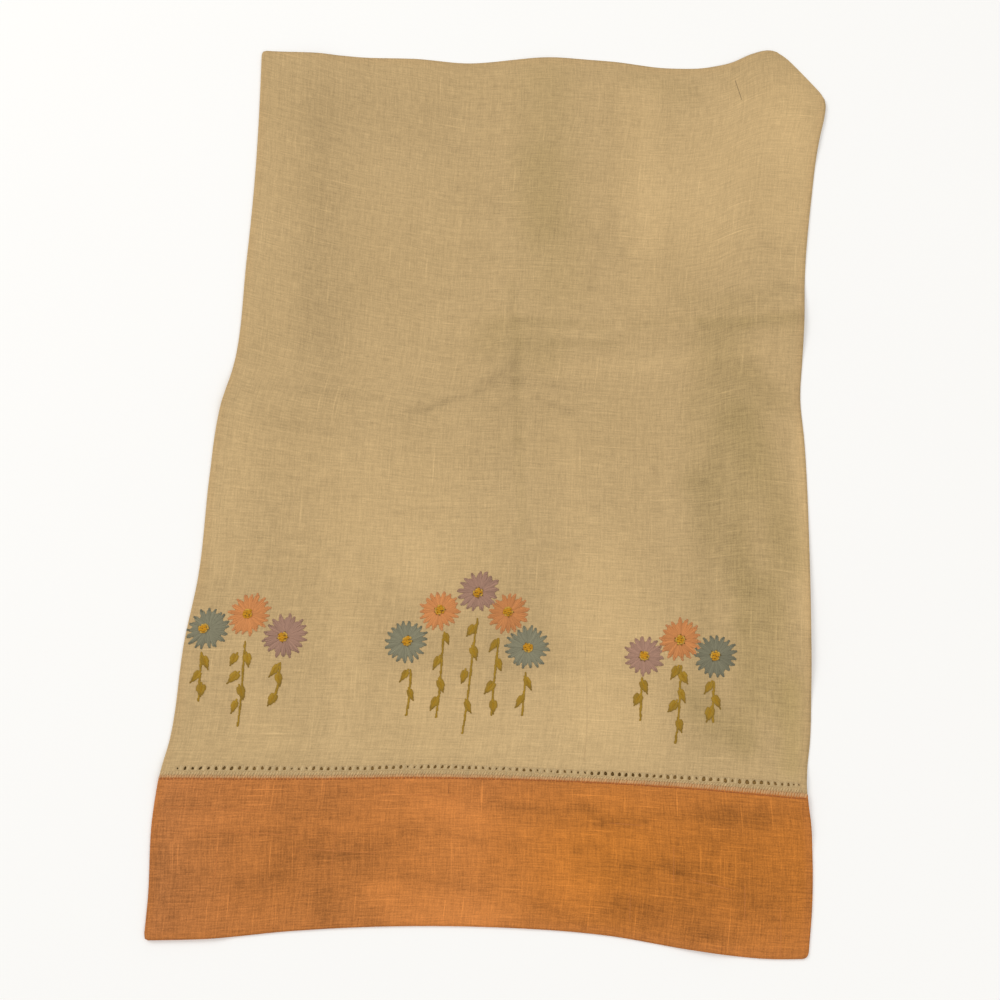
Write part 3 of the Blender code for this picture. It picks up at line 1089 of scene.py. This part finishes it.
def floor_material(name, colour):
    """Smooth matt board with a very faint mottle."""
    material, nodes, shader = new_material(name)
    mottle = nodes.cloudy(nodes.add("TexCoord").outputs["Object"], 9.0, 3.0)
    finish = {
        "Base Color": nodes.shade(colour, nodes.calculate("MULTIPLY_ADD", mottle, 0.01, 1.0)),
        "Roughness": nodes.calculate("MULTIPLY_ADD", mottle, 0.05, 0.9),
        "Specular IOR Level": 0.1,
    }
    nodes.wire(shader, finish)
    return material


def shared_material(name, build, *values):
    """A material built once and then used again."""
    return bpy.data.materials.get(name) or build(name, *values)


# Each linen: the first word of its colours' names, how many slubs it has, and how uneven it is
LINENS = {
    "aged_cream_linen": ("cream", 0.5, 0.36),
    "faded_orange_linen": ("orange", 0.8, 0.58),
    # The linen under the holes is darkened to paint their shade
    "shaded_linen": ("painted_shade_lining", 0.3, 0.4),
}


def linen(context, name):
    """One of the linens; a colour that it has no value for is its main one."""
    sizes, colours = context.scene.towel_sizes, context.scene.towel_colours
    word, slubs, contrast = LINENS[name]
    main = getattr(colours, word)
    shades = [getattr(colours, word + part, main) for part in ("", "_shade", "_tint", "_hem")]
    return shared_material(name, linen_material, shades, sizes.thread_pitch, slubs, contrast)


def size_property(label, about, default):
    """A length that a user may change."""
    return FloatProperty(
        name=label, description=about, default=default, min=0.0, subtype="DISTANCE", unit="LENGTH"
    )


def colour_property(label, about, default):
    """A colour that a user may change."""
    return FloatVectorProperty(
        name=label, description=about, default=default, size=3, min=0.0, max=1.0, subtype="COLOR"
    )


class TowelSizes(bpy.types.PropertyGroup):
    """Sizes of the cloth, its stitches and its threads."""

    cloth_thickness: size_property("Cloth", "Thickness of the cream linen", 0.0005)
    border_thickness: size_property("Border", "Thickness of the doubled border", 0.0009)
    layer_gap: size_property("Layer gap", "Space between a turned margin and the face", 0.0004)
    seam_height: size_property("Seam", "How far the seam stands up", 0.0012)
    cell: size_property("Cell", "Spacing of the cloth's mesh", 0.002)
    thread_pitch: size_property("Threads", "Distance between the linen's threads", 0.00052)
    stitch_height: size_property("Stitch", "How far embroidery stitches stand up", 0.00042)
    knot: size_property("Knot", "Width of a knot in a daisy's centre", 0.0019)
    stem_width: size_property("Stem", "Width of a stem", 0.0013)
    leaf_length: size_property("Leaf length", "Length of a leaf from the stem", 0.0062)
    leaf_width: size_property("Leaf width", "Width of a leaf", 0.0048)
    rope_pitch: size_property("Rope", "Distance between the slanted stitches at the join", 0.0015)
    dash_pitch: size_property("Dashes", "Distance between the sewn stitches of the border", 0.0019)


class TowelColours(bpy.types.PropertyGroup):
    """Colours of the linen and the threads."""

    cream: colour_property("Cream", "Ground linen", (0.522, 0.368, 0.183))
    cream_shade: colour_property("Cream shade", "Ground linen, toned", (0.493, 0.343, 0.164))
    cream_tint: colour_property("Cream tint", "Ground linen, greenish", (0.485, 0.349, 0.145))
    cream_hem: colour_property("Cream hem", "Ground linen along its hems", (0.497, 0.336, 0.16))
    orange: colour_property("Orange", "Border linen", (0.504, 0.193, 0.059))
    orange_shade: colour_property("Orange shade", "Border linen, deeper", (0.462, 0.165, 0.045))
    orange_tint: colour_property("Orange tint", "Border linen, golden", (0.495, 0.168, 0.024))
    orange_hem: colour_property("Orange hem", "Border linen along its edges", (0.48, 0.168, 0.04))
    # Darker than the border's orange: it paints the shade seen through the holes
    painted_shade_lining: colour_property("Lining", "Cloth in the shade under the holes", (0.28, 0.165, 0.05))
    blue: colour_property("Blue", "Petals in blue", (0.215, 0.203, 0.132))
    blue_tip: colour_property("Blue tip", "Tips of the blue petals", (0.14, 0.135, 0.09))
    peach: colour_property("Peach", "Petals in peach", (0.57, 0.225, 0.072))
    peach_tip: colour_property("Peach tip", "Tips of the peach petals", (0.52, 0.22, 0.085))
    lilac: colour_property("Lilac", "Petals in lilac", (0.348, 0.198, 0.14))
    lilac_tip: colour_property("Lilac tip", "Tips of the lilac petals", (0.26, 0.15, 0.1))
    gold: colour_property("Gold", "Knots in the centres", (0.53, 0.245, 0.005))
    straw: colour_property("Straw", "Pale knots round the centres", (0.55, 0.33, 0.05))
    olive: colour_property("Olive", "Stems, and the sides of leaves", (0.36, 0.208, 0.014))
    mustard: colour_property("Mustard", "Middles of leaves", (0.325, 0.172, 0.004))
    # Dark olive: real tone on stems and leaves, and painted shade in the gaps between knots
    olive_dark_and_gap_shade: colour_property("Dark olive", "Tips of leaves, gaps in knots", (0.2, 0.115, 0.014))
    bleached: colour_property("Bleached", "Stitches beside the holes", (0.55, 0.4, 0.205))
    # Dark rust: the border's sewing, and painted shade along its folded edge
    rust_sewing_and_edge_shade: colour_property("Rust", "Sewn stitches of the border", (0.36, 0.105, 0.022))


class StageSettings(bpy.types.PropertyGroup):
    """Floor and light."""

    floor: colour_property("Floor", "Colour of the floor", (0.95, 0.95, 0.945))
    key: FloatProperty(name="Key", description="Power of the main light", default=50.0, unit="POWER")
    fill: FloatProperty(name="Fill", description="Power of the fill light", default=44.0, unit="POWER")
    sky: FloatProperty(name="Sky", description="Strength of the even light", default=0.6, min=0.0)


class TOWEL_OT_ground(bpy.types.Operator):
    """Lay the cream ground cloth, with its row of holes"""

    bl_idname = "towel.ground"
    bl_label = "Ground cloth"

    def execute(self, context):
        sizes = context.scene.towel_sizes
        cloth = LaidCloth(sizes, sizes.cloth_thickness)
        sheet = build_ground_sheet(cloth, sizes.cell / MM)
        material = linen(context, "aged_cream_linen")
        piece = finish_cloth("ground_cloth", sheet, cloth, GROUND_TONES_AND_PAINTED_SHADING, material)
        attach(piece, "root")
        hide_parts("ground_panel")
        return {"FINISHED"}


class TOWEL_OT_border(bpy.types.Operator):
    """Lay the orange border, and the turned-in edge of it that lies under the seam"""

    bl_idname = "towel.border"
    bl_label = "Border"

    def execute(self, context):
        sizes = context.scene.towel_sizes
        cloth = LaidCloth(sizes, sizes.border_thickness)
        cell = sizes.cell / MM * 0.8
        sheet = bmesh.new()
        add_grid(sheet, column_stations(cloth, cell), even_stations(0, BORDER_DEPTH, cell))
        for vert in sheet.verts:
            vert.co.y *= float(border_edge(vert.co.x)) / BORDER_DEPTH
        material = linen(context, "faded_orange_linen")
        piece = finish_cloth("border_cloth", sheet, cloth, BORDER_TONES_AND_PAINTED_SHADING, material)
        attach(piece, "root")
        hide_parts("border_band")
        self.lay_seam_allowance(context)
        return {"FINISHED"}

    def lay_seam_allowance(self, context):
        """The raw edge of the border, on the floor and up under the row of holes, in a darkened linen
        that paints the shade seen through them.
        """
        sheet = bmesh.new()
        rows = even_stations(BORDER_DEPTH - 2, BORDER_DEPTH - 2 + ALLOWANCE, 1.0)
        add_grid(sheet, even_stations(4, WIDTH - 1.5, 6.0), rows)
        flat = np.array([vert.co[:2] for vert in sheet.verts])
        x, y = to_outline(*flat.T)
        z = 0.2 + 0.6 * (1 - ease((flat[:, 0] - MARGIN_UNDER) / RAMP))
        z += 0.75 * (1 - ease(np.abs(flat[:, 1] - row_centre(flat[:, 0])) / 4))
        threads = sheet.loops.layers.uv.new("threads")
        for i, vert in enumerate(sheet.verts):
            for loop in vert.link_loops:
                loop[threads].uv = flat[i] * MM
            vert.co = (x[i] * MM, y[i] * MM, z[i] * MM)
        mesh = take_mesh("seam_allowance", sheet)
        thickness = ALLOWANCE_THICKNESS * MM
        piece = lay_piece("seam_allowance", mesh, linen(context, "shaded_linen"), thickness)
        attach(piece, "root")


class TOWEL_OT_hemstitching(bpy.types.Operator):
    """Work the stitches round the holes, the slanted rope at the join and the border's sewing"""

    bl_idname = "towel.hemstitching"
    bl_label = "Hemstitching"

    def execute(self, context):
        self.work_bars(Needlework(context, 3))
        self.work_rope(Needlework(context, 5))
        self.work_edge(Needlework(context, 13, on_border=True))
        self.work_dashes(Needlework(context, 7, on_border=True))
        return {"FINISHED"}

    def work_bars(self, work):
        """The drawn threads between the holes, pulled into bundles, and the thread round them."""
        worker, colours = work.worker, work.colours
        holes = hole_places()
        for before, after in zip(holes, holes[1:]):
            bar = (before[0] + after[0]) / 2
            centre = float(row_centre(bar))
            lean = worker.uniform(-0.25, 0.25)
            width = max(0.7, after[0] - before[0] - (before[1] + after[1]) / 2 + 0.35)
            left, right = bar - width * 0.12, bar + width * 0.16
            start, end = (left - lean, centre - 1.6), (left + lean, centre + 1.6)
            work.stitch(start, end, width * 0.42, 0.26, colours.bleached, sink=0.6)
            start, end = (right + lean, centre - 1.6), (right - lean, centre + 1.6)
            work.stitch(start, end, width * 0.4, 0.26, colours.cream, sink=0.6)
        for across, width, height, shift, _ in holes:
            centre = float(row_centre(across)) + shift
            slip = worker.uniform(-0.3, 0.3)
            low, high = centre - height / 2 - 0.35, centre + height / 2 + 0.35
            left, right = across - width / 2 - 1.0, across + width / 2 + 1.0
            work.stitch((left, low + 0.1), (right, low - 0.1), 0.45, 0.22, colours.cream)
            work.stitch((left, high - slip), (right, high + slip), 0.4, 0.2, colours.cream)
        work.finish("hemstitch_bars", "embroidery_thread")

    def work_rope(self, work):
        """Slanted cream stitches that whip the border's edge to the ground."""
        worker, cream = work.worker, Vector(work.colours.cream)
        blend = cream.lerp(Vector(work.colours.orange), 0.45)
        across = 1.2
        while across < WIDTH - 1.2:
            share = across / WIDTH
            foot = float(border_edge(across)) - 0.15 + worker.uniform(-0.12, 0.12)
            head = max(float(row_centre(across)) - 1.55, foot + 1.2)
            lean = 0.55 + 0.5 * share + worker.uniform(-0.12, 0.12)
            shade = cream * worker.uniform(0.98, 1.12)
            start, end = (across + lean, head), (across - lean * 0.4, foot)
            work.stitch(start, end, 0.95, 0.35 + 0.2 * share, shade, fades_to=blend)
            across += work.sizes.rope_pitch / MM * worker.uniform(0.88, 1.12)
        work.finish("join_rope", "embroidery_thread")

    def sewn_depth(self, across):
        """How far inside the border's edge its sewn line lies, deeper towards the right."""
        return 1.4 + 0.9 * float(ease((across / WIDTH - 0.55) / 0.3))

    def work_edge(self, work):
        """Close slanted stitches over the border's edge, cream above and orange below."""
        worker = work.worker
        cream, orange = Vector(work.colours.cream), Vector(work.colours.orange)
        across = 1.0
        while across < WIDTH - 0.5:
            edge = float(border_edge(across))
            lean = 0.3 + 0.5 * across / WIDTH + worker.uniform(-0.1, 0.1)
            start = (across + lean, edge + worker.uniform(0.2, 0.7))
            end = (across - lean * 0.4, edge - self.sewn_depth(across) + worker.uniform(0.2, 0.5))
            factor = worker.uniform(1.0, 1.12)
            shade, towards = cream.lerp(orange, 0.42) * factor, cream.lerp(orange, 0.88) * factor
            work.stitch(start, end, 1.3, 0.26, shade, fades_to=towards, sink=0.5)
            across += work.sizes.rope_pitch / MM * worker.uniform(0.75, 0.95)
        work.finish("edge_stitches", "embroidery_thread")

    def work_dashes(self, work):
        """The sewn line just inside the border's edge, which runs on closer towards the right; its dark
        thread is partly the sewing and partly painted shade along the border's folded edge.
        """
        worker, pitch = work.worker, work.sizes.dash_pitch / MM
        across = 1.0
        while across < WIDTH - 2.0:
            level = float(border_edge(across)) - self.sewn_depth(across) + worker.uniform(-0.1, 0.1)
            length = pitch * (0.62 + 0.45 * across / WIDTH) * worker.uniform(0.9, 1.1)
            end = min(across + length, WIDTH - 0.8)
            work.stitch((across, level), (end, level), 0.75, 0.24, work.colours.rust_sewing_and_edge_shade, sink=0.6)
            across += pitch * worker.uniform(0.92, 1.08)
        work.finish("border_sewing", "embroidery_thread")


class TOWEL_OT_daisies(bpy.types.Operator):
    """Embroider the daisies"""

    bl_idname = "towel.daisies"
    bl_label = "Daisies"

    def execute(self, context):
        work = Needlework(context, 11)
        for daisy in DAISIES:
            self.petals(work, daisy)
            self.centre(work, daisy)
        work.finish("daisies", "embroidery_thread")
        return {"FINISHED"}

    def petals(self, work, daisy):
        """Broad looped petals over shorter ones that fill the ring, each tied down at its tip."""
        petal_colour = Vector(getattr(work.colours, daisy.colour)) * daisy.tone
        tip_colour = Vector(getattr(work.colours, daisy.colour + "_tip"))
        centre = from_outline(daisy.x + daisy.ring_x, daisy.y + daisy.ring_y)
        height = work.sizes.stitch_height / MM
        worker = work.worker
        turn = worker.uniform(0, math.tau)
        step = math.tau / daisy.petals
        for i in range(daisy.petals * 2):
            angle = turn + step * (i / 2 + 0.25)
            outer = daisy.radius * worker.uniform(0.7, 0.84)
            self.ray(work, centre, angle, angle, 0.6, outer, 2.4, height * 0.8, petal_colour)
        for i in range(daisy.petals):
            angle = turn + step * (i + worker.uniform(-0.2, 0.2))
            reach = daisy.radius * worker.uniform(0.88, 1.0)
            width = reach * step * worker.uniform(0.56, 0.76)
            for side in (-1, 1):
                outer = reach * worker.uniform(0.93, 1.0)
                swing = side * width * 0.25 / outer
                shade = petal_colour * worker.uniform(0.93, 1.05)
                start, end = angle + swing * 0.7, angle + swing
                self.ray(work, centre, start, end, 1.2, outer, width * 0.62, height, shade)
            tip = reach + worker.uniform(0.2, 0.8)
            lean = angle + worker.uniform(-0.05, 0.05)
            shade = petal_colour.lerp(tip_colour, worker.uniform(0.4, 1.0))
            self.ray(work, centre, angle, lean, reach - 1.3, tip, 1.4, height, shade)

    def ray(self, work, centre, from_angle, to_angle, inner, outer, width, height, colour):
        """A stitch that points away from a daisy's centre."""
        start, end = centre + inner * heading(from_angle), centre + outer * heading(to_angle)
        work.stitch(start, end, width, height, colour)

    def centre(self, work, daisy):
        """Gold knots within a ring of paler ones, with small dark stitches between them that paint the
        shade in the gaps.
        """
        centre = from_outline(daisy.x, daisy.y)
        worker, colours = work.worker, work.colours
        for i in range(9):
            way = heading(math.tau * (i + worker.uniform(-0.25, 0.25)) / 9)
            place = centre + way * worker.uniform(1.9, 2.3)
            slant = beside(way) * 0.8
            colour = colours.straw if worker.random() < 0.6 else colours.gold
            work.stitch(place - slant, place + slant, 1.3, 0.9, colour, sink=0.2)
            # Now and then a dark olive stitch paints the shade in the gap at the ring's edge
            if worker.random() < 0.4:
                place, slant = centre + way * 2.9, slant * 0.35
                work.stitch(place - slant, place + slant, 0.6, 0.95, colours.olive_dark_and_gap_shade, sink=0.1)
        knot = work.sizes.knot / MM
        half = np.array([knot / 2, 0])
        for i in range(6):
            way = heading(math.tau * i / 5 + worker.uniform(-0.3, 0.3))
            place = centre + way * (0.0 if i == 5 else 1.15)
            work.stitch(place - half, place + half, knot * 0.85, 1.2, colours.gold, sink=0.1)
            # Now and then a dark olive stitch paints the shade in the gap beside a knot
            if worker.random() < 0.35:
                start, end = place - half * 0.4 + GAP_SHIFT, place + half * 0.4 + GAP_SHIFT
                work.stitch(start, end, 0.55, 1.35, colours.olive_dark_and_gap_shade, sink=0.05)


class TOWEL_OT_stems(bpy.types.Operator):
    """Embroider the stems and leaves"""

    bl_idname = "towel.stems"
    bl_label = "Stems and leaves"

    def execute(self, context):
        work = Needlework(context, 17)
        for stem in STEMS:
            self.stem(work, stem)
        for leaf in LEAVES:
            self.leaf(work, leaf)
        work.finish("stems_and_leaves", "embroidery_thread")
        return {"FINISHED"}

    def stem(self, work, stem):
        """A line of short overlapping stitches, uneven in width and tone."""
        start, end = from_outline(stem.x0, stem.y0), from_outline(stem.x1, stem.y1)
        length = float(np.linalg.norm(end - start))
        forward = (end - start) / length
        side = beside(forward)
        width = work.sizes.stem_width / MM
        light, dark = Vector(work.colours.olive), Vector(work.colours.olive_dark_and_gap_shade)
        worker = work.worker
        place = 0.0
        bow = worker.uniform(-0.6, 0.6)
        while place < length - 0.8:
            reach = min(worker.uniform(2.0, 2.8), length - place)
            drift = bow * math.sin(math.pi * place / length) + worker.uniform(-0.15, 0.15)
            first = start + forward * place + side * (drift - 0.2)
            last = start + forward * (place + reach) + side * (drift + 0.2)
            colour = light.lerp(dark, worker.uniform(0, 0.4))
            work.stitch(first, last, width * worker.uniform(0.7, 1.25), 0.4, colour)
            place += reach * 0.66

    def leaf(self, work, leaf):
        """A plump loop of uneven stitches that hangs from the stem, darker at its tip."""
        middle, worker = from_outline(leaf.x, leaf.y), work.worker
        forward = heading(math.radians(-90 + leaf.lean))
        side = beside(forward)

        def lay(start, end, width, colour, fades_to=None):
            """A stitch between points along and beside the midrib."""
            first = middle + forward * start[0] + side * start[1]
            last = middle + forward * end[0] + side * end[1]
            work.stitch(first, last, width, 0.4 + width * 0.08, colour, fades_to=fades_to)

        half = work.sizes.leaf_length / MM / 2 * worker.uniform(0.9, 1.12)
        wide = work.sizes.leaf_width / MM / 2 * worker.uniform(0.78, 1.15)
        light, dark = Vector(work.colours.olive), Vector(work.colours.olive_dark_and_gap_shade)
        towards = light.lerp(dark, 0.7)
        lay((-half - 1.6, 0), (-half * 0.3, 0), 1.3, light)
        for hand in (-1, 1):
            bulge = hand * wide * worker.uniform(0.45, 0.65)
            shade = light.lerp(dark, worker.uniform(0, 0.45))
            far = (half * worker.uniform(0, 0.3), bulge)
            lay((-half * 1.1, bulge * 0.7), far, wide * 0.95, shade)
            far = (half * worker.uniform(0.8, 1.0), bulge * 0.1)
            lay((-half * 0.7, bulge), far, wide * 0.8, shade, towards)
        lay((-half, 0), (half * 0.8, 0), wide * 0.9, work.colours.mustard)
        far = (half + worker.uniform(0.5, 1.3), worker.uniform(-0.4, 0.4))
        lay((half * 0.4, 0), far, 1.0, towards)


class TOWEL_OT_thick_threads(bpy.types.Operator):
    """Add the single thick threads of both cloths, and the stray hair"""

    bl_idname = "towel.thick_threads"
    bl_label = "Thick threads"

    def execute(self, context):
        work = Needlework(context, 23)
        for row in GROUND_SLUBS:
            self.slub(work, row, work.colours.cream)
        self.slub(work, STRAY_HAIR, work.colours.cream)
        work.finish("ground_slubs", "cream_linen")
        work = Needlework(context, 29, on_border=True)
        for row in BORDER_SLUBS:
            self.slub(work, row, work.colours.orange_hem)
        work.finish("border_slubs", "orange_linen")
        return {"FINISHED"}

    def slub(self, work, row, colour):
        """A thread that stands out for part of its length."""
        start, end = from_outline(row.x0, row.y0), from_outline(row.x1, row.y1)
        length = float(np.linalg.norm(end - start))
        count = max(1, round(length / 3.2))
        shade = [channel * (1 + row.paler) for channel in colour]
        for i in range(count):
            first = start + (end - start) * i / count
            last = start + (end - start) * (i + 1.35) / count
            width = row.width * (0.6 + 0.4 * math.sin(math.pi * (i + 0.5) / count))
            work.stitch(first, last, width, 0.16, shade, sink=0.45)


class TOWEL_OT_stage(bpy.types.Operator):
    """Set the floor, the lights and the camera"""

    bl_idname = "towel.stage"
    bl_label = "Stage"

    def execute(self, context):
        settings = context.scene.towel_stage
        self.lay_floor(settings)
        self.hang_light(context, "key_light", (-2.4, 1.6, 2.0), 1.6, settings.key)
        self.hang_light(context, "fill_light", (2.0, -1.2, 3.0), 3.0, settings.fill)
        world = context.scene.world or bpy.data.worlds.new("studio")
        context.scene.world = world
        world.use_nodes = True
        sky = world.node_tree.nodes["Background"]
        sky.inputs["Color"].default_value = (1.0, 0.99, 0.97, 1)
        sky.inputs["Strength"].default_value = settings.sky
        context.scene.view_settings.view_transform = "Standard"
        context.scene.view_settings.look = "None"
        self.set_camera(context)
        return {"FINISHED"}

    def lay_floor(self, settings):
        """A plain pale floor."""
        board = bmesh.new()
        bmesh.ops.create_grid(board, x_segments=4, y_segments=4, size=2.0)
        material = shared_material("pale_floor", floor_material, settings.floor)
        floor = lay_piece("floor", take_mesh("floor", board), material)

    def hang_light(self, context, name, place, size, power):
        """A soft square light that faces the towel."""
        data = bpy.data.lights.new(name, "AREA")
        data.shape = "SQUARE"
        data.size = size
        data.energy = power
        data.color = (1.0, 0.985, 0.96)
        light = bpy.data.objects.new(name, data)
        light.location = place
        light.rotation_mode = "QUATERNION"
        light.rotation_quaternion = Vector(place).to_track_quat("Z", "Y")
        context.scene.collection.objects.link(light)

    def set_camera(self, context):
        """A hand-held view from above the border, turned a little."""
        tilt, roll = math.radians(14.666), math.radians(3.8265)
        level_up = Vector((0, math.cos(tilt), math.sin(tilt)))
        right = Vector((math.cos(roll), 0, 0)) + level_up * math.sin(roll)
        up = Vector((-math.sin(roll), 0, 0)) + level_up * math.cos(roll)
        back = right.cross(up)
        pose = Matrix((right, up, back)).transposed().to_4x4()
        pose.translation = (-0.0065, -0.1935, 0.63426)
        data = bpy.data.cameras.new("camera")
        data.lens = 43.2
        data.sensor_width = 36.0
        data.clip_start = 0.01
        camera = bpy.data.objects.new("camera", data)
        camera.matrix_world = pose
        context.scene.collection.objects.link(camera)
        context.scene.camera = camera


STEPS = (
    TOWEL_OT_ground,
    TOWEL_OT_border,
    TOWEL_OT_hemstitching,
    TOWEL_OT_daisies,
    TOWEL_OT_stems,
    TOWEL_OT_thick_threads,
    TOWEL_OT_stage,
)


class TOWEL_PT_panel(bpy.types.Panel):
    """The towel's pieces, sizes and colours."""

    bl_idname = "TOWEL_PT_panel"
    bl_label = "Tea Towel"
    bl_space_type = "VIEW_3D"
    bl_region_type = "UI"
    bl_category = "Towel"

    def draw(self, context):
        for step in STEPS:
            self.layout.operator(step.bl_idname)
        for name in SETTINGS:
            settings = getattr(context.scene, name)
            box = self.layout.box()
            for value in settings.__annotations__:
                box.prop(settings, value)


SETTINGS = {"towel_sizes": TowelSizes, "towel_colours": TowelColours, "towel_stage": StageSettings}
CLASSES = (*SETTINGS.values(), *STEPS, TOWEL_PT_panel)


def register():
    for item in CLASSES:
        bpy.utils.register_class(item)
    for name, group in SETTINGS.items():
        setattr(bpy.types.Scene, name, PointerProperty(type=group))


def unregister():
    for name in SETTINGS:
        delattr(bpy.types.Scene, name)
    for item in reversed(CLASSES):
        bpy.utils.unregister_class(item)


def main():
    register()
    bpy.ops.towel.ground()
    bpy.ops.towel.border()
    bpy.ops.towel.hemstitching()
    bpy.ops.towel.daisies()
    bpy.ops.towel.stems()
    bpy.ops.towel.thick_threads()
    bpy.ops.towel.stage()
    bpy.context.view_layer.update()


if __name__ == "__main__":
    main()
